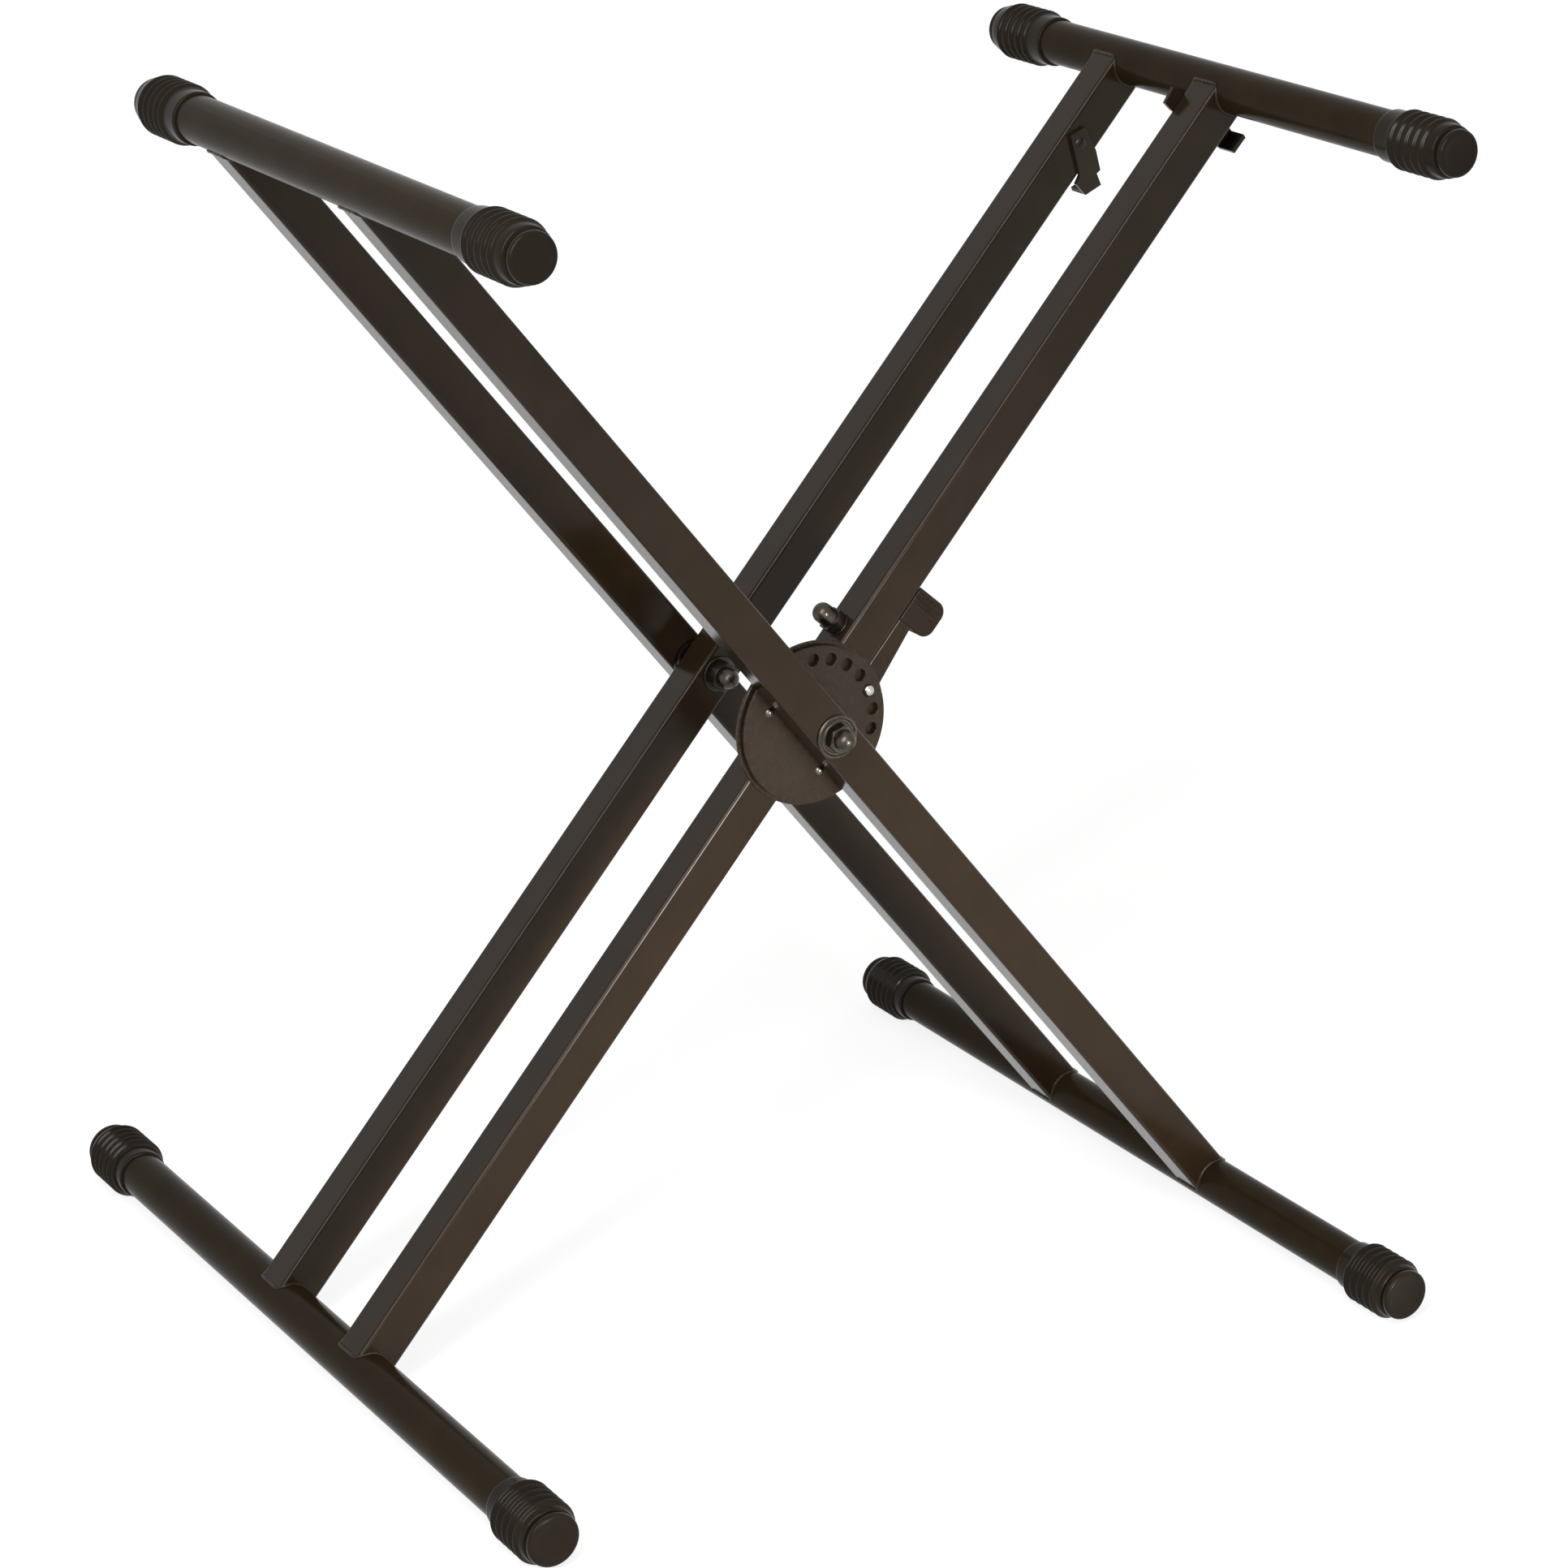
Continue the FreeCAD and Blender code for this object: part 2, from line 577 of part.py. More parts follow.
def export_trigger_bolt():
    """Bolt across the leg: head inside the trigger, domed nut on the far side."""
    y = INNER_FRONT_MIDDLE
    z = TRIGGER_ALONG
    bore = TRIGGER_BOLT_RADIUS + RUNNING
    left_thick = 1.6
    left = -LEG_WIDE / 2 - left_thick
    coil_end = SPRING_START + SPRING_PITCH * (SPRING_TURNS - 0.5) + SPRING_WIRE / 2
    seat = coil_end + 0.35
    seat_thick = 1.2
    head = hexagon(TRIGGER_HEX, -TRIGGER_HEAD, 0)
    head.rotate(ORIGIN, UP, 90)
    head.translate(Vector(seat + seat_thick, y, z))
    shank = cross_rod(TRIGGER_BOLT_RADIUS, left - 12.0, seat + seat_thick + 1, y, z)
    export(on_inner(head.fuse(shank).removeSplitter()), "trigger_pivot_bolt")
    washers = []
    for start, radius, thick in ((left, 9.0, left_thick), (seat, 7.6, seat_thick)):
        ring = cross_rod(radius, start, start + thick, y, z)
        washers.append(ring.cut(cross_rod(bore, start - 1, start + thick + 1, y, z)))
    export(on_inner(Part.makeCompound(washers)), "trigger_pivot_washers")
    nut = cap_nut(TRIGGER_NUT_HEX, 8.0, 7.2, TRIGGER_NUT_HEIGHT, TRIGGER_BOLT_RADIUS, 13.0)
    nut.rotate(ORIGIN, UP, -90)
    nut.translate(Vector(left, y, z))
    export(on_inner(nut), "trigger_cap_nut")


# ------------------------------------------------------------------------------ spring

def spring_point(turn):
    """Point and direction on the middle line of the coil, after a number of turns."""
    angle = 2 * math.pi * turn
    rise = SPRING_PITCH / (2 * math.pi)
    point = Vector(
        SPRING_START + rise * angle,
        INNER_FRONT_MIDDLE - SPRING_RADIUS * math.cos(angle),
        TRIGGER_ALONG + SPRING_RADIUS * math.sin(angle),
    )
    heading = Vector(rise, SPRING_RADIUS * math.sin(angle), SPRING_RADIUS * math.cos(angle))
    return point, heading.normalize()


def arc_to(start, corner, end):
    """Arc from start to end that is tangent to the lines through the corner."""
    middle = (start + end) * 0.5
    half_chord = (end - start).Length / 2
    rise = (corner - middle).Length
    bulge = half_chord * math.tan(math.atan2(rise, half_chord) / 2)
    return Part.Arc(start, middle + (corner - middle) * (bulge / rise), end).toShape()


def biarc(p0, t0, p1, t1):
    """Two arcs that leave p0 along t0 and reach p1 along t1."""
    chord = p1 - p0
    both = t0 + t1
    square = 2 * (1 - t0.dot(t1))
    reach = -chord.dot(both) + math.sqrt(chord.dot(both) ** 2 + square * chord.dot(chord))
    reach = reach / square
    corner0 = p0 + t0 * reach
    corner1 = p1 - t1 * reach
    joint = (corner0 + corner1) * 0.5
    return [arc_to(p0, corner0, joint), arc_to(joint, corner1, p1)]


def spring_gap():
    """Least gap between neighbouring turns, measured on points of the middle line."""
    points = [spring_point(k / 48)[0] for k in range(48 * SPRING_TURNS + 1)]
    gaps = []
    for i, a in enumerate(points):
        for b in points[i + 24:]:
            gaps.append((a - b).Length - SPRING_WIRE)
    return min(gaps)


def trigger_spring():
    """Torsion spring round the trigger's bolt: arm along the channel, coil, short tail."""
    edges = []
    start, heading = spring_point(0)
    arm_end = start - heading * SPRING_ARM
    edges.append(Part.makeLine(arm_end, start))
    for quarter in range(4 * SPRING_TURNS - 2):
        p0, t0 = spring_point(quarter / 4)
        p1, t1 = spring_point((quarter + 1) / 4)
        edges += biarc(p0, t0, p1, t1)
    end, heading = spring_point(SPRING_TURNS - 0.5)
    edges.append(Part.makeLine(end, end + heading * SPRING_TAIL))
    path = Part.Wire(edges)
    direction = (start - arm_end).normalize()
    ring = Part.Wire(Part.makeCircle(SPRING_WIRE / 2, arm_end, direction))
    return path.makePipeShell([ring], True, False)


# ------------------------------------------------------------------------------- clips

def export_clips():
    """Two small hooks of folded strip, riveted to the facing sides of the inner legs."""
    y1 = INNER_REAR_FACE
    y0 = y1 - CLIP_THICK
    hanging = plate([
        (-11, 451), (-5, 463), (13.6, 456), (26.3, 447.6), (25.5, 444),
        (34, 440), (28, 427), (16, 428), (14.6, 434.5),
    ], y0, y1)
    tab = plate([(34, 440), (28, 427), (25.3, 428.3), (31.3, 441.3)], y0, y1 + CLIP_TAB)
    hook = hanging.fuse(tab).removeSplitter()
    hook = hook.cut(rod(CLIP_RIVET, y0 - 1, y1 + 1, 0, LOW_RIVET_ALONG))
    export(on_inner(hook), "leg_clip_rear")

    y2 = INNER_FRONT_BACK
    y3 = y2 + CLIP_THICK
    crossing = plate([
        (-24.6, 501.7), (-22.6, 489.4), (-15.6, 488.9), (39.7, 493.8), (40, 507.5), (24, 510.6),
    ], y2, y3)
    tab = plate([(36.7, 493.6), (39.7, 493.8), (40, 507.5), (37, 508.1)], y2 - CLIP_TAB, y3)
    bar = crossing.fuse(tab).removeSplitter()
    bar = bar.cut(rod(BAR_RADIUS, y2 - 5, y3 + 5, 0, PIVOT_TO_BAR))
    bar = bar.cut(rod(CLIP_RIVET, y2 - 1, y3 + 1, 0, HIGH_RIVET_ALONG))
    export(on_inner(bar), "leg_clip_front")

    low_rivet = rivet(4.5, 2.0, CLIP_RIVET, CLIP_THICK)
    low_rivet.translate(Vector(0, y0, LOW_RIVET_ALONG))
    high_rivet = rivet(4.5, 2.0, CLIP_RIVET, CLIP_THICK)
    high_rivet.rotate(ORIGIN, UP, 180)
    high_rivet.translate(Vector(0, y3, HIGH_RIVET_ALONG))
    export(on_inner(Part.makeCompound([low_rivet, high_rivet])), "clip_rivets")


# -------------------------------------------------------------------------- everything

export_frame("inner", on_inner, 1, [("front", INNER_FRONT_MIDDLE), ("rear", INNER_REAR_MIDDLE)])
export_frame("outer", on_outer, -1, [("front", OUTER_FRONT_MIDDLE), ("rear", OUTER_REAR_MIDDLE)])
export(on_outer(front_disc()), "lock_disc_front")
export(on_outer(disc_rivets()), "disc_rivets")
export(on_inner(rear_disc()), "lock_disc_rear")
export_front_pivot()
export_rear_pivot()
pin, pin_collar = lock_pin()
export(on_inner(pin), "lock_pin")
export(on_inner(pin_collar), "pin_retaining_collar")
export(on_inner(trigger_lever()), "trigger_lever")
export(on_inner(trigger_grip()), "trigger_grip")
export_trigger_bolt()
export(on_inner(trigger_spring()), "trigger_return_spring")
print("least gap between the spring's turns", round(spring_gap(), 2), "mm")
export_clips()
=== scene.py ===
import json
import math

import bmesh
import bpy
from mathutils import Matrix, Vector


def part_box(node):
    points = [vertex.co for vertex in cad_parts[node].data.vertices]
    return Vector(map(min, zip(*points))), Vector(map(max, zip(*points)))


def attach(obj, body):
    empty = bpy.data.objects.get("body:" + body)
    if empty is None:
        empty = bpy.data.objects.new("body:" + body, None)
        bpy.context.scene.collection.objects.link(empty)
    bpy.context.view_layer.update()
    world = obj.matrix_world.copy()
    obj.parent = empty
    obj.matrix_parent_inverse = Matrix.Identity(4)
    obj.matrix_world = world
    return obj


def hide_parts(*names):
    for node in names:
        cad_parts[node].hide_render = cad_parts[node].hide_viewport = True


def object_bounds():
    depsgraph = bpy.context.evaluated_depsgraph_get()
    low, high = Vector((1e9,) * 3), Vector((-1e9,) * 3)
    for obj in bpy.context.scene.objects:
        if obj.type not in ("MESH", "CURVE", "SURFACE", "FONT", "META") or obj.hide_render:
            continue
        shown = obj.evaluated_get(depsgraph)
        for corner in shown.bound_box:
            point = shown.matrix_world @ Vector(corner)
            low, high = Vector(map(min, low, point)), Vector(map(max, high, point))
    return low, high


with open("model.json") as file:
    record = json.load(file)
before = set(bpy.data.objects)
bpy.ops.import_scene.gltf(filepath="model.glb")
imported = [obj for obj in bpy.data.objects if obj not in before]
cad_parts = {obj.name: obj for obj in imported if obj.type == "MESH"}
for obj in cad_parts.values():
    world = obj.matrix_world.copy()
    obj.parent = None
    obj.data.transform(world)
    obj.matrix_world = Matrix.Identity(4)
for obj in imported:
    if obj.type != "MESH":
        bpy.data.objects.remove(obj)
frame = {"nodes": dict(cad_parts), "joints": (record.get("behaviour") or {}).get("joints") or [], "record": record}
cad_low, cad_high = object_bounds()

# Folding keyboard stand. Metres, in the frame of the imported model.
# +X along the span, +Y to the back, +Z up, origin on the floor between the feet.

MM = 0.001

# ------------------------------------------------------------- places from the frame

JOINTS = {joint["name"]: joint for joint in frame["joints"]}
PIVOT = Vector(JOINTS["fold"]["pos_m"])

BODIES = frame["record"]["behaviour"]["bodies"]
BODY_OF = {node: body for body, nodes in BODIES.items() for node in nodes}
SLOT_OF = {part["node"]: part["material_slot"] for part in frame["record"]["subparts"]}


def middle(node):
    low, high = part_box(node)
    return (low + high) / 2


def half_width(node):
    low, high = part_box(node)
    return (high.x - low.x) / 2


INNER_TOP = middle("inner_top_crossbar")
LEAN = math.atan2(INNER_TOP.x - PIVOT.x, INNER_TOP.z - PIVOT.z)
REACH = math.hypot(INNER_TOP.x - PIVOT.x, INNER_TOP.z - PIVOT.z)
BAR_RADIUS = half_width("inner_top_crossbar")
LEG_WIDE = 30.0 * MM
LEG_CORNER = 2.5 * MM


def frame_axes(lean):
    """Matrix to the scene from a leg's own axes: X across, Z along, origin at the pivot."""
    return Matrix.Translation(Vector((PIVOT.x, 0, PIVOT.z))) @ Matrix.Rotation(lean, 4, "Y")


INNER = frame_axes(LEAN)
OUTER = frame_axes(-LEAN)

# ------------------------------------------------------------------------- mesh tools


def finish_mesh(bm, name, material, body, sharp, nodes=()):
    """Turn a bmesh into a piece that rides a body, smooth apart from its sharp edges."""
    limit = math.radians(sharp)
    for edge in bm.edges:
        edge.smooth = not (edge.is_manifold and edge.calc_face_angle(0.0) > limit)
    for face in bm.faces:
        face.smooth = True
    mesh = bpy.data.meshes.new(name)
    bm.to_mesh(mesh)
    bm.free()
    piece = bpy.data.objects.new(name, mesh)
    bpy.context.scene.collection.objects.link(piece)
    mesh.materials.append(material)
    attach(piece, body)
    if nodes:
        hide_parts(*nodes)
    return piece


def bridge(bm, one, two):
    """Band of faces between two rings with the same number of points."""
    for k in range(len(one)):
        n = (k + 1) % len(one)
        bm.faces.new((one[k], one[n], two[n], two[k]))


def lathe(bm, profile, place, sides):
    """Turn (radius, distance along Y) points about the Y axis of a matrix.

    The first point lies on the axis and closes that end.
    """
    tip = bm.verts.new(place @ Vector((0, profile[0][1], 0)))
    rings = []
    for radius, along in profile[1:]:
        ring = []
        for k in range(sides):
            angle = 2 * math.pi * k / sides
            point = Vector((radius * math.cos(angle), along, radius * math.sin(angle)))
            ring.append(bm.verts.new(place @ point))
        rings.append(ring)
    for k in range(sides):
        bm.faces.new((tip, rings[0][(k + 1) % sides], rings[0][k]))
    for one, two in zip(rings, rings[1:]):
        bridge(bm, one, two)
    bmesh.ops.recalc_face_normals(bm, faces=bm.faces)


def closed_bead(bm, path, radius_at, sides):
    """Round bead along a closed run of points; radius_at gives the radius at each one."""
    slanting = Vector((0.3, 0.2, 0.93))  # not along any part of the run
    rings = []
    for i, point in enumerate(path):
        tangent = (path[(i + 1) % len(path)] - path[i - 1]).normalized()
        side = tangent.cross(slanting).normalized()
        up = tangent.cross(side)
        ring = []
        for k in range(sides):
            angle = 2 * math.pi * k / sides
            offset = side * math.cos(angle) + up * math.sin(angle)
            ring.append(bm.verts.new(point + offset * radius_at(i)))
        rings.append(ring)
    for one, two in zip(rings, rings[1:] + rings[:1]):
        bridge(bm, one, two)
    bmesh.ops.recalc_face_normals(bm, faces=bm.faces)


# -------------------------------------------------------------------------- materials


class Shader:
    """Short-hand for building one node material."""

    NOISE_ROUGHNESS = 0.55
    NOISE_RANGE = (0.3, 0.7)  # nearly all of a noise texture's values lie in it

    def __init__(self, name):
        self.material = bpy.data.materials.new(name)
        self.material.use_nodes = True
        self.tree = self.material.node_tree
        self.bsdf = self.tree.nodes["Principled BSDF"]
        self.where = self.tree.nodes.new("ShaderNodeTexCoord").outputs["Object"]

    def link(self, output, target):
        self.tree.links.new(output, target)

    def noise(self, scale, detail):
        node = self.tree.nodes.new("ShaderNodeTexNoise")
        node.inputs["Scale"].default_value = scale
        node.inputs["Detail"].default_value = detail
        node.inputs["Roughness"].default_value = self.NOISE_ROUGHNESS
        self.link(self.where, node.inputs["Vector"])
        return node.outputs["Fac"]

    def stretch(self, noise, low, high):
        node = self.tree.nodes.new("ShaderNodeMapRange")
        node.inputs["From Min"].default_value = self.NOISE_RANGE[0]
        node.inputs["From Max"].default_value = self.NOISE_RANGE[1]
        node.inputs["To Min"].default_value = low
        node.inputs["To Max"].default_value = high
        self.link(noise, node.inputs["Value"])
        return node.outputs["Result"]

    def mix(self, factor, one, two):
        node = self.tree.nodes.new("ShaderNodeMix")
        node.data_type = "RGBA"
        self.link(factor, node.inputs["Factor"])
        node.inputs["A"].default_value = (*one, 1)
        node.inputs["B"].default_value = (*two, 1)
        return node.outputs["Result"]

    def bump(self, height, strength, distance, below=None):
        node = self.tree.nodes.new("ShaderNodeBump")
        node.inputs["Strength"].default_value = strength
        node.inputs["Distance"].default_value = distance
        self.link(height, node.inputs["Height"])
        if below is not None:
            self.link(below, node.inputs["Normal"])
        return node.outputs["Normal"]

    def drift(self, tone_noise, dark, light, gloss_noise, rough):
        """Colour that drifts between dark and light, and roughness between two values."""
        tone = self.stretch(self.noise(*tone_noise), 0.0, 1.0)
        self.link(self.mix(tone, dark, light), self.bsdf.inputs["Base Color"])
        gloss = self.stretch(self.noise(*gloss_noise), *rough)
        self.link(gloss, self.bsdf.inputs["Roughness"])

    def finish(self, normal, socket, value):
        self.link(normal, self.bsdf.inputs["Normal"])
        self.bsdf.inputs[socket].default_value = value
        return self.material


def powder_coat(name, dark, light, rough, peel, shine):
    """Satin powder coat: faint mottling, orange peel and fine grain."""
    s = Shader(name)
    s.drift((28.0, 4.0), dark, light, (160.0, 3.0), rough)
    orange_peel = s.bump(s.noise(620.0, 2.0), peel, 0.15 * MM)
    grain = s.bump(s.noise(2600.0, 2.0), peel * 0.6, 0.05 * MM, orange_peel)
    return s.finish(grain, "Specular IOR Level", shine)


def moulded(name, dark, light, rough, grain, shine):
    """Moulded rubber or plastic: fine grain and slight sheen changes."""
    s = Shader(name)
    s.drift((45.0, 4.0), dark, light, (240.0, 4.0), rough)
    fine = s.bump(s.noise(1800.0, 3.0), grain, 0.12 * MM)
    return s.finish(fine, "Specular IOR Level", shine)


def turned_steel(name, dark, light, rough):
    """Bright or darkened metal with fine marks."""
    s = Shader(name)
    s.drift((220.0, 4.0), dark, light, (520.0, 3.0), rough)
    marks = s.bump(s.noise(1500.0, 2.0), 0.12, 0.05 * MM)
    return s.finish(marks, "Metallic", 1.0)


# The shine sets how much of the white surround a dark surface mirrors, and with it
# most of its tone in the picture.
COAT = powder_coat(
    "frame_powder_coat", (0.0185, 0.0112, 0.0055), (0.023, 0.0142, 0.0076),
    rough=(0.14, 0.2), peel=0.05, shine=0.16,
)
BAR_COAT = powder_coat(
    "bar_powder_coat", (0.019, 0.0124, 0.006), (0.026, 0.0172, 0.0088),
    rough=(0.2, 0.27), peel=0.08, shine=0.035,
)
DISC_COAT = powder_coat(
    "disc_powder_coat", (0.018, 0.011, 0.0058), (0.024, 0.015, 0.0082),
    rough=(0.24, 0.3), peel=0.08, shine=0.2,
)
WELD_COAT = powder_coat(
    "weld_powder_coat", (0.018, 0.011, 0.0055), (0.025, 0.0155, 0.0085),
    rough=(0.22, 0.32), peel=0.25, shine=0.2,
)
CAP_RUBBER = moulded(
    "cap_rubber", (0.012, 0.008, 0.0045), (0.017, 0.0115, 0.0068),
    rough=(0.2, 0.26), grain=0.02, shine=0.1,
)
GRIP_PLASTIC = moulded(
    "grip_plastic", (0.015, 0.0095, 0.005), (0.02, 0.013, 0.0075),
    rough=(0.26, 0.36), grain=0.1, shine=0.12,
)
NYLON = moulded(
    "washer_nylon", (0.012, 0.011, 0.010), (0.02, 0.018, 0.016),
    rough=(0.5, 0.6), grain=0.15, shine=0.3,
)
BLACK_STEEL = turned_steel(
    "black_oxide_steel", (0.05, 0.042, 0.034), (0.08, 0.068, 0.056), rough=(0.28, 0.4)
)
RIVET_STEEL = turned_steel(
    "rivet_steel", (0.12, 0.106, 0.09), (0.18, 0.16, 0.138), rough=(0.24, 0.36)
)
BRIGHT_STEEL = turned_steel(
    "bright_pin_steel", (0.42, 0.4, 0.37), (0.55, 0.53, 0.49), rough=(0.2, 0.3)
)
SPRING_STEEL = turned_steel(
    "spring_wire_steel", (0.2, 0.19, 0.17), (0.32, 0.3, 0.275), rough=(0.25, 0.38)
)

SLOT_MATERIALS = {
    "frame_coat": COAT,
    "bar_coat": BAR_COAT,
    "disc_coat": DISC_COAT,
    "clip_coat": DISC_COAT,
    "rivet_steel": RIVET_STEEL,
    "black_hardware": BLACK_STEEL,
    "friction_washer": NYLON,
    "pin_steel": BRIGHT_STEEL,
    "spring_steel": SPRING_STEEL,
    "trigger_coat": COAT,
    "grip_plastic": GRIP_PLASTIC,
    "cap_rubber": CAP_RUBBER,
}


def dress_cad_nodes():
    """Every CAD node gets the material of its slot."""
    for node, slot in SLOT_OF.items():
        mesh = frame["nodes"][node].data
        mesh.materials.clear()
        mesh.materials.append(SLOT_MATERIALS[slot])


# ------------------------------------------------------------------ softened hardware

SAME_POINT = 0.001 * MM
FLAT_WITHIN = 0.8  # degrees; faces turned less than this are one flat face
ROUND_OVER = 28.0  # degrees; edges sharper than this are rounded
SOFT_SHARP = 50.0

# Radius in mm of the rounded edges of each node.
ROUNDED_NODES = {
    "lock_disc_front": 0.6,
    "lock_disc_rear": 0.6,
    "leg_clip_front": 0.5,
    "leg_clip_rear": 0.5,
    "front_pivot_cap_nut": 0.5,
    "rear_pivot_cap_nut": 0.5,
    "trigger_cap_nut": 0.5,
    "front_pivot_head_washer": 0.4,
    "rear_pivot_washer": 0.4,
    "rear_pivot_head_washer": 0.4,
    "trigger_pivot_washers": 0.3,
}


def flatten_normals(mesh, limit):
    """Let the large flat faces keep their own direction, so only the rounded edges turn."""
    touching = [[] for _ in mesh.vertices]
    for face in mesh.polygons:
        for index in face.vertices:
            touching[index].append((face.normal.copy(), face.area))
    normals = [None] * len(mesh.loops)
    least = math.cos(math.radians(limit))
    for face in mesh.polygons:
        for loop in face.loop_indices:
            total = Vector((0, 0, 0))
            for normal, area in touching[mesh.loops[loop].vertex_index]:
                if normal.dot(face.normal) > least:
                    total += normal * area
            normals[loop] = total.normalized()
    mesh.normals_split_custom_set(normals)


def softened(node, body, slot, width):
    """A CAD node's own shape with its sharp edges rounded a little."""
    bm = bmesh.new()
    bm.from_mesh(frame["nodes"][node].data)
    bmesh.ops.remove_doubles(bm, verts=bm.verts, dist=SAME_POINT)
    bmesh.ops.dissolve_limit(
        bm, angle_limit=math.radians(FLAT_WITHIN), verts=bm.verts, edges=bm.edges
    )
    limit = math.radians(ROUND_OVER)
    edges = [e for e in bm.edges if e.is_manifold and e.calc_face_angle(0.0) > limit]
    bmesh.ops.bevel(
        bm, geom=edges, offset=width, segments=2, profile=0.5,
        affect="EDGES", clamp_overlap=True,
    )
    material = SLOT_MATERIALS[slot]
    piece = finish_mesh(bm, node + "_soft", material, body, SOFT_SHARP, (node,))
    flatten_normals(piece.data, SOFT_SHARP)


def soften_hardware():
    for node, radius_mm in ROUNDED_NODES.items():
        softened(node, BODY_OF[node], SLOT_OF[node], radius_mm * MM)


# ----------------------------------------------------------------------- rubber caps

CAP_RIBS = 5
RIB_STEPS = 14
RIB_FORM = 1.25  # above 1 the ribs are narrower than the valleys between them
CORNER_STEPS = 6
CORNER_RADIUS = 2.3
CAP_SIDES = 96
CAP_SHARP = 40.0
MOUTH_DEPTH = 3.0

# Sizes in mm: radius of the end face, of the ribs and of the valleys between them,
# the first rib's distance from the end face, the ribs' pitch and the cap's length.
TOP_CAP = {
    "face": 15.9, "rib": 20.4, "valley": 18.0, "first": 18.0, "pitch": 8.0, "length": 68.0,
}
FOOT_CAP = {
    "face": 18.0, "rib": 22.0, "valley": 19.3, "first": 14.0, "pitch": 7.3, "length": 58.0,
}


def cap_profile(cap):
    """Outside of a cap from the middle of its end face to its open rim, in metres."""
    face, rib, valley = cap["face"], cap["rib"], cap["valley"]
    first, pitch, length = cap["first"], cap["pitch"], cap["length"]
    # The end face is sunk a little inside a raised ring.
    points = [
        (0, 0.5), (face - 6.0, 0.5), (face - 4.6, 0.25), (face - 3.6, 0.0), (face - 2.4, 0.0),
    ]
    for k in range(1, CORNER_STEPS + 1):
        angle = math.pi / 2 * k / CORNER_STEPS
        points.append((
            face - CORNER_RADIUS + CORNER_RADIUS * math.sin(angle),
            CORNER_RADIUS - CORNER_RADIUS * math.cos(angle),
        ))
    # A groove parts the end from the ribbed body.
    points += [
        (face, 4.2), (face - 0.3, 4.8), (face - 1.4, 5.1), (face - 2.1, 5.4),
        (face - 2.2, 6.1), (face - 1.6, 6.6),
        (valley - 1.5, 6.75), (valley - 0.8, 7.1), (valley - 0.4, 7.9),
    ]
    start = first - pitch / 2
    for k in range(CAP_RIBS * RIB_STEPS + 1):
        phase = k / RIB_STEPS
        swell = (0.5 - 0.5 * math.cos(2 * math.pi * phase)) ** RIB_FORM
        points.append((valley + (rib - valley) * swell, start + pitch * phase))
    # The plain sleeve tapers slightly to a rounded rim, and turns in against the bar.
    after = start + CAP_RIBS * pitch
    points += [
        (18.0, after + 0.5), (17.9, after + 1.0), (17.87, after + 1.6), (17.85, after + 2.4),
        (17.76, length - 2.4), (17.74, length - 1.6), (17.6, length - 0.9),
        (17.3, length - 0.3), (16.9, length),
        (BAR_RADIUS / MM, length), (BAR_RADIUS / MM, length - MOUTH_DEPTH),
    ]
    return [(radius * MM, along * MM) for radius, along in points]


def make_cap(node, body):
    """Ribbed cap in place of its node; a foot's ribs are worn flat at the floor."""
    low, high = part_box(node)
    cap = FOOT_CAP if high.z < PIVOT.z else TOP_CAP
    centre_x = (low.x + high.x) / 2
    centre_z = high.z - cap["rib"] * MM
    if (low.y + high.y) / 2 < PIVOT.y:
        place = Matrix.Translation(Vector((centre_x, low.y, centre_z)))
    else:
        turn = Matrix.Rotation(math.pi, 4, "Z")
        place = Matrix.Translation(Vector((centre_x, high.y, centre_z))) @ turn
    bm = bmesh.new()
    lathe(bm, cap_profile(cap), place, CAP_SIDES)
    for vert in bm.verts:
        vert.co.z = max(vert.co.z, low.z)
    finish_mesh(bm, node + "_moulding", CAP_RUBBER, body, CAP_SHARP, (node,))


def all_caps():
    for node, body in BODY_OF.items():
        if node.startswith(("inner_cap_", "outer_cap_")):
            make_cap(node, body)


# ----------------------------------------------------------------------------- welds

BEAD = 1.5 * MM
BEAD_SIDES = 8
BEAD_SHARP = 80.0
SIDE_POINTS = 14


def section_outline(low_y, high_y):
    """(X, Y) points round a leg's section, without its rounded corners."""
    half = LEG_WIDE / 2
    wide = LEG_WIDE - 2 * LEG_CORNER
    deep = high_y - low_y - 2 * LEG_CORNER
    steps = [k / (SIDE_POINTS - 1) for k in range(SIDE_POINTS)]
    return (
        [(-half + LEG_CORNER + wide * step, low_y) for step in steps]
        + [(half, low_y + LEG_CORNER + deep * step) for step in steps]
        + [(half - LEG_CORNER - wide * step, high_y) for step in steps]
        + [(-half, high_y - LEG_CORNER - deep * step) for step in steps]
    )


def leg_weld(name, axes, node, end, body):
    """Weld bead round the coped end of a leg, where it meets its crossbar."""
    low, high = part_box(node)
    path = []
    for x, y in section_outline(low.y, high.y):
        cope = REACH - math.sqrt(max(BAR_RADIUS ** 2 - x ** 2, 0.0))
        path.append(axes @ Vector((x, y, end * cope)))

    def radius(i):
        """Small uneven ripples, as a hand-laid bead has."""
        return BEAD * (0.92 + 0.12 * math.sin(i * 2.4) + 0.06 * math.sin(i * 0.9 + end))

    bm = bmesh.new()
    closed_bead(bm, path, radius, BEAD_SIDES)
    finish_mesh(bm, name, WELD_COAT, body, BEAD_SHARP)


def all_welds():
    for prefix, axes in (("inner", INNER), ("outer", OUTER)):
        for side in ("front", "rear"):
            for end, where in ((1, "top"), (-1, "foot")):
                name = prefix + "_weld_" + where + "_" + side
                leg_weld(name, axes, prefix + "_leg_" + side, end, prefix + "_frame")


# ------------------------------------------------------------------- lights and stage

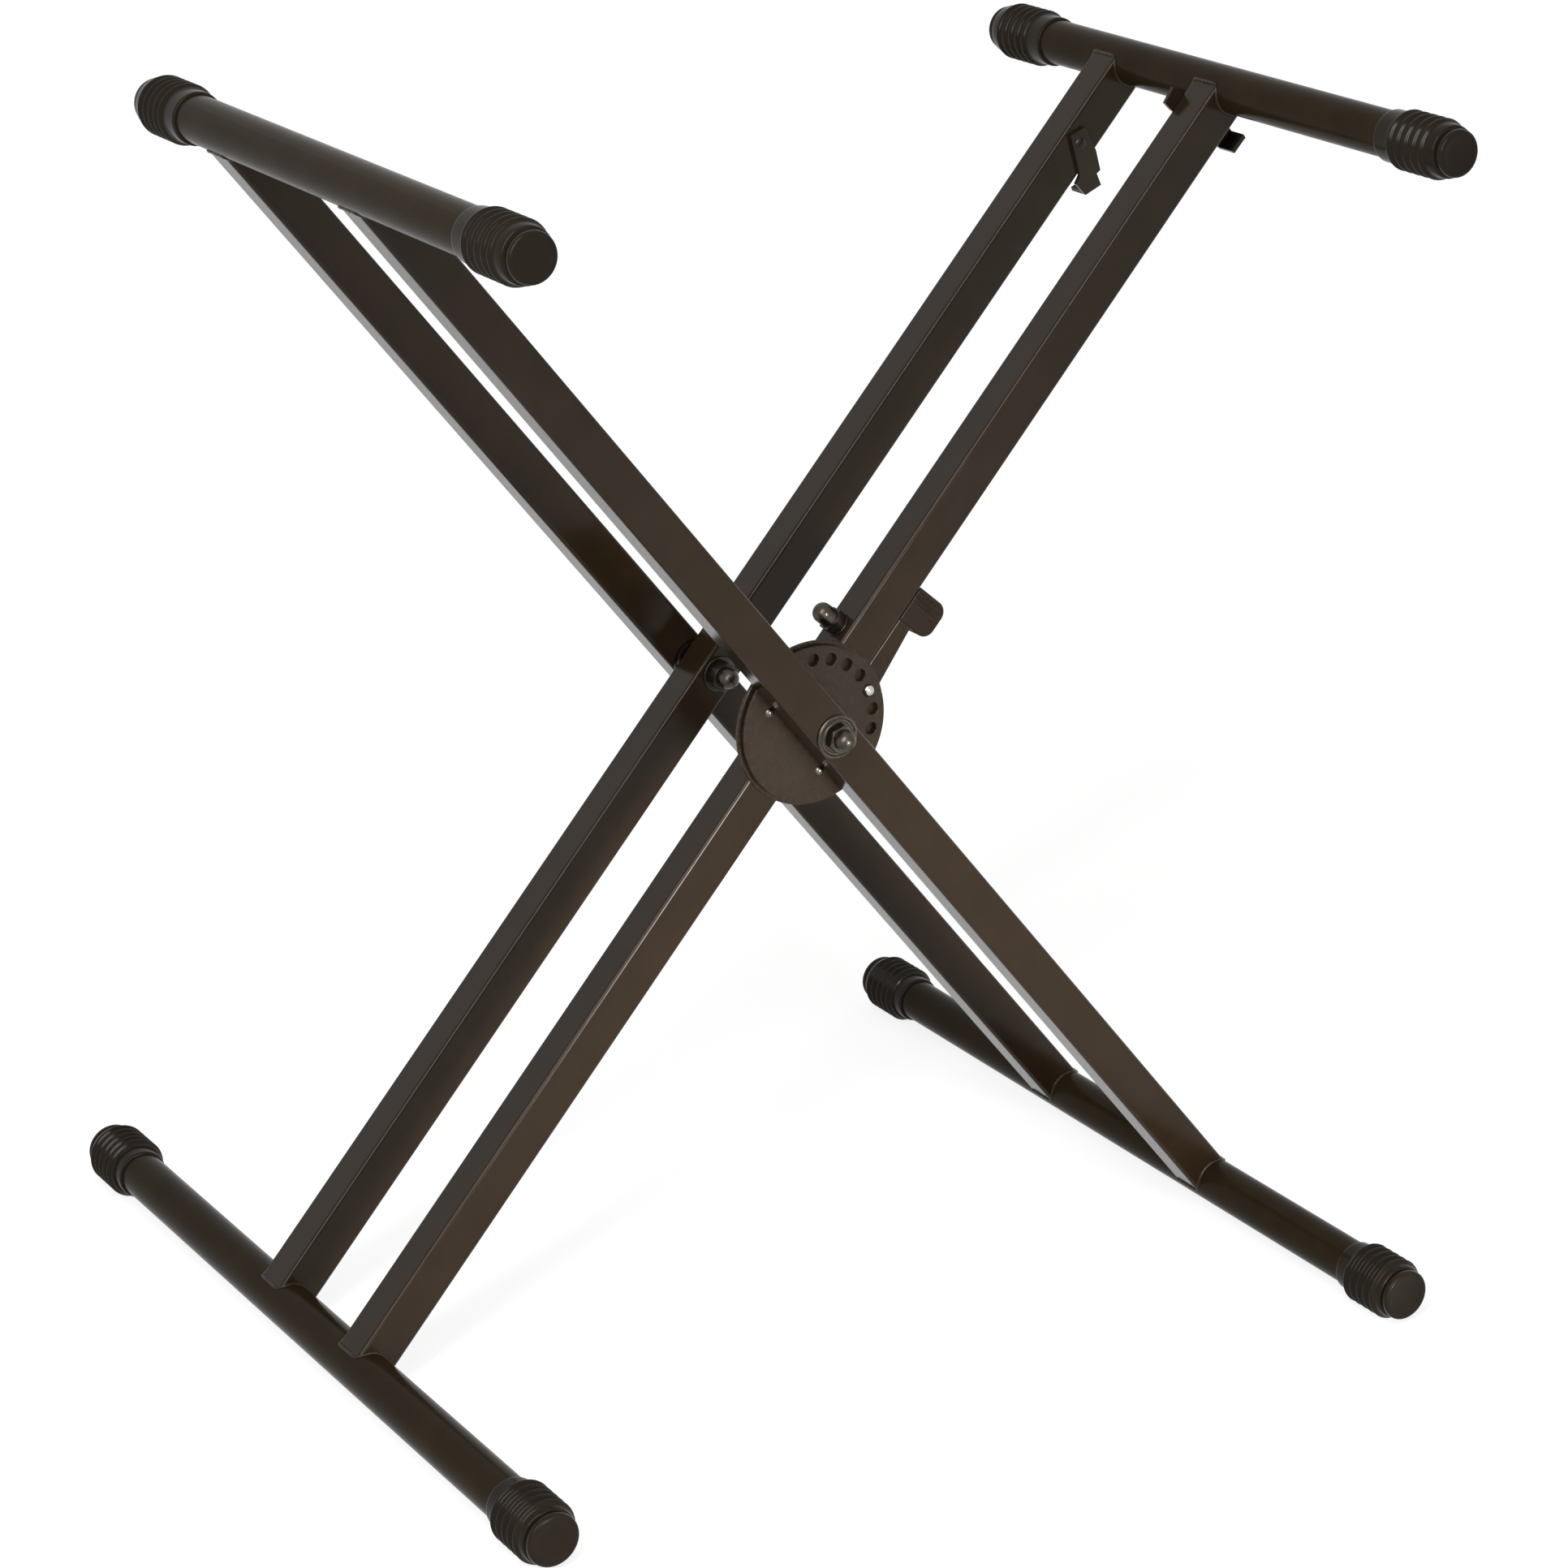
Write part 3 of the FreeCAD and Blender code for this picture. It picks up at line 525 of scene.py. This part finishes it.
AMBIENT_COLOUR = (1, 0.985, 0.96, 1)
AMBIENT_STRENGTH = 0.34
WHITE = (1, 1, 1, 1)

FLOOR_HALF = 12.0
FLOOR_DROP = 0.2 * MM
PAPER_COLOUR = (0.8, 0.8, 0.8, 1)
SHADE_COLOUR = (0.32, 0.32, 0.32, 1)  # what the eye sees of the light that falls on it
GLOW_NEAR, GLOW_FAR = 0.5, 2.4  # distances from the stand, in metres
GLOW_UNDER, GLOW_AWAY = 0.83, 0.92


def add_area(name, location, target, long_way, size, power, spread):
    """Soft rectangular lamp aimed at a target, its long side along a direction."""
    light = bpy.data.lights.new(name, "AREA")
    light.shape = "RECTANGLE"
    light.size, light.size_y = size
    light.energy = power
    light.spread = math.radians(spread)
    lamp = bpy.data.objects.new(name, light)
    bpy.context.scene.collection.objects.link(lamp)
    away = (Vector(location) - Vector(target)).normalized()
    side = Vector(long_way)
    side = (side - away * side.dot(away)).normalized()
    lamp.location = location
    lamp.rotation_mode = "QUATERNION"
    lamp.rotation_quaternion = Matrix((side, away.cross(side), away)).transposed().to_quaternion()


def white_to_the_eye(tree):
    """1 for rays from the camera, and for mirrored and clear views; 0 for light."""
    path = tree.nodes.new("ShaderNodeLightPath")
    total = path.outputs["Is Camera Ray"]
    for other in ("Is Glossy Ray", "Is Transmission Ray"):
        node = tree.nodes.new("ShaderNodeMath")
        node.operation = "MAXIMUM"
        tree.links.new(total, node.inputs[0])
        tree.links.new(path.outputs[other], node.inputs[1])
        total = node.outputs[0]
    return total


def studio():
    """White surround that lights the stand more softly than it looks, and two lamps."""
    world = bpy.data.worlds.new("studio")
    bpy.context.scene.world = world
    world.use_nodes = True
    tree = world.node_tree
    tree.nodes.clear()
    output = tree.nodes.new("ShaderNodeOutputWorld")
    ambient = tree.nodes.new("ShaderNodeBackground")
    ambient.inputs["Color"].default_value = AMBIENT_COLOUR
    ambient.inputs["Strength"].default_value = AMBIENT_STRENGTH
    white = tree.nodes.new("ShaderNodeBackground")
    white.inputs["Color"].default_value = WHITE
    white.inputs["Strength"].default_value = 1.0
    mix = tree.nodes.new("ShaderNodeMixShader")
    tree.links.new(white_to_the_eye(tree), mix.inputs[0])
    tree.links.new(ambient.outputs[0], mix.inputs[1])
    tree.links.new(white.outputs[0], mix.inputs[2])
    tree.links.new(mix.outputs[0], output.inputs[0])

    # A long narrow lamp along the inner legs draws the fine bright line on their corners.
    leg_way = INNER.to_3x3() @ Vector((0, 0, 1))
    add_area(
        "edge_lamp", location=(-1.6, -1.67, 2.0), target=(0, -0.08, 0.42),
        long_way=leg_way, size=(2.3, 0.5), power=62, spread=180.0,
    )
    # A low lamp in front lifts the lower half of the stand.
    add_area(
        "low_lamp", location=(0.2, -2.4, 0.25), target=(0, 0, 0.16),
        long_way=(1, 0, 0), size=(0.6, 0.5), power=2.4, spread=26.0,
    )


def floor():
    """Pale floor that reads as white and keeps the stand's soft shadow."""
    bm = bmesh.new()
    bmesh.ops.create_grid(bm, x_segments=1, y_segments=1, size=FLOOR_HALF)
    mesh = bpy.data.meshes.new("floor")
    bm.to_mesh(mesh)
    bm.free()
    ground = bpy.data.objects.new("floor", mesh)
    bpy.context.scene.collection.objects.link(ground)
    ground.location = (0, 0, cad_low.z - FLOOR_DROP)
    material = bpy.data.materials.new("floor_paper")
    material.use_nodes = True
    tree = material.node_tree
    bsdf = tree.nodes["Principled BSDF"]
    bsdf.inputs["Base Color"].default_value = PAPER_COLOUR
    bsdf.inputs["Roughness"].default_value = 0.9
    bsdf.inputs["Specular IOR Level"].default_value = 0.0
    shade = tree.nodes.new("ShaderNodeBsdfDiffuse")
    shade.inputs["Color"].default_value = SHADE_COLOUR
    glow = tree.nodes.new("ShaderNodeEmission")
    where = tree.nodes.new("ShaderNodeTexCoord")
    reach = tree.nodes.new("ShaderNodeVectorMath")
    reach.operation = "LENGTH"
    tree.links.new(where.outputs["Object"], reach.inputs[0])
    spread = tree.nodes.new("ShaderNodeMapRange")
    spread.inputs["From Min"].default_value = GLOW_NEAR
    spread.inputs["From Max"].default_value = GLOW_FAR
    spread.inputs["To Min"].default_value = GLOW_UNDER
    spread.inputs["To Max"].default_value = GLOW_AWAY
    tree.links.new(reach.outputs["Value"], spread.inputs["Value"])
    tree.links.new(spread.outputs["Result"], glow.inputs["Strength"])
    both = tree.nodes.new("ShaderNodeAddShader")
    tree.links.new(shade.outputs[0], both.inputs[0])
    tree.links.new(glow.outputs[0], both.inputs[1])
    mix = tree.nodes.new("ShaderNodeMixShader")
    tree.links.new(white_to_the_eye(tree), mix.inputs[0])
    tree.links.new(bsdf.outputs[0], mix.inputs[1])
    tree.links.new(both.outputs[0], mix.inputs[2])
    tree.links.new(mix.outputs[0], tree.nodes["Material Output"].inputs[0])
    mesh.materials.append(material)


# ----------------------------------------------------------------------------- camera

# The photograph's principal point lies off the middle of its frame. Sizes in pixels.
PHOTO_SIZE = 1932.0
FOCAL_PIXELS = 5443.8
PRINCIPAL_X = 1215.8
PRINCIPAL_Y = 856.4
CAMERA_AZIMUTH = -34.117
CAMERA_ELEVATION = 18.227
CAMERA_ROLL = 1.568
CAMERA_DISTANCE = 3.1095
CAMERA_TARGET = (0.17746, -0.0376, 0.3974)
SENSOR_WIDTH = 36.0


def camera():
    data = bpy.data.cameras.new("photo_camera")
    data.sensor_width = SENSOR_WIDTH
    data.lens = FOCAL_PIXELS * SENSOR_WIDTH / PHOTO_SIZE
    data.shift_x = (PHOTO_SIZE / 2 - PRINCIPAL_X) / PHOTO_SIZE
    data.shift_y = (PRINCIPAL_Y - PHOTO_SIZE / 2) / PHOTO_SIZE
    data.clip_start = 0.05
    data.clip_end = 60.0
    cam = bpy.data.objects.new("photo_camera", data)
    bpy.context.scene.collection.objects.link(cam)
    a = math.radians(CAMERA_AZIMUTH)
    e = math.radians(CAMERA_ELEVATION)
    r = math.radians(CAMERA_ROLL)
    back = Vector((math.sin(a) * math.cos(e), -math.cos(a) * math.cos(e), math.sin(e)))
    right = Vector((math.cos(a), math.sin(a), 0))
    up = back.cross(right)
    rolled_right = right * math.cos(r) + up * math.sin(r)
    rolled_up = up * math.cos(r) - right * math.sin(r)
    turn = Matrix((rolled_right, rolled_up, back)).transposed()
    cam.location = Vector(CAMERA_TARGET) + back * CAMERA_DISTANCE
    cam.rotation_mode = "QUATERNION"
    cam.rotation_quaternion = turn.to_quaternion()
    bpy.context.scene.camera = cam


# ------------------------------------------------------------------------- everything

dress_cad_nodes()
all_caps()
soften_hardware()
all_welds()
studio()
floor()
camera()
bpy.context.scene.view_settings.view_transform = "Standard"
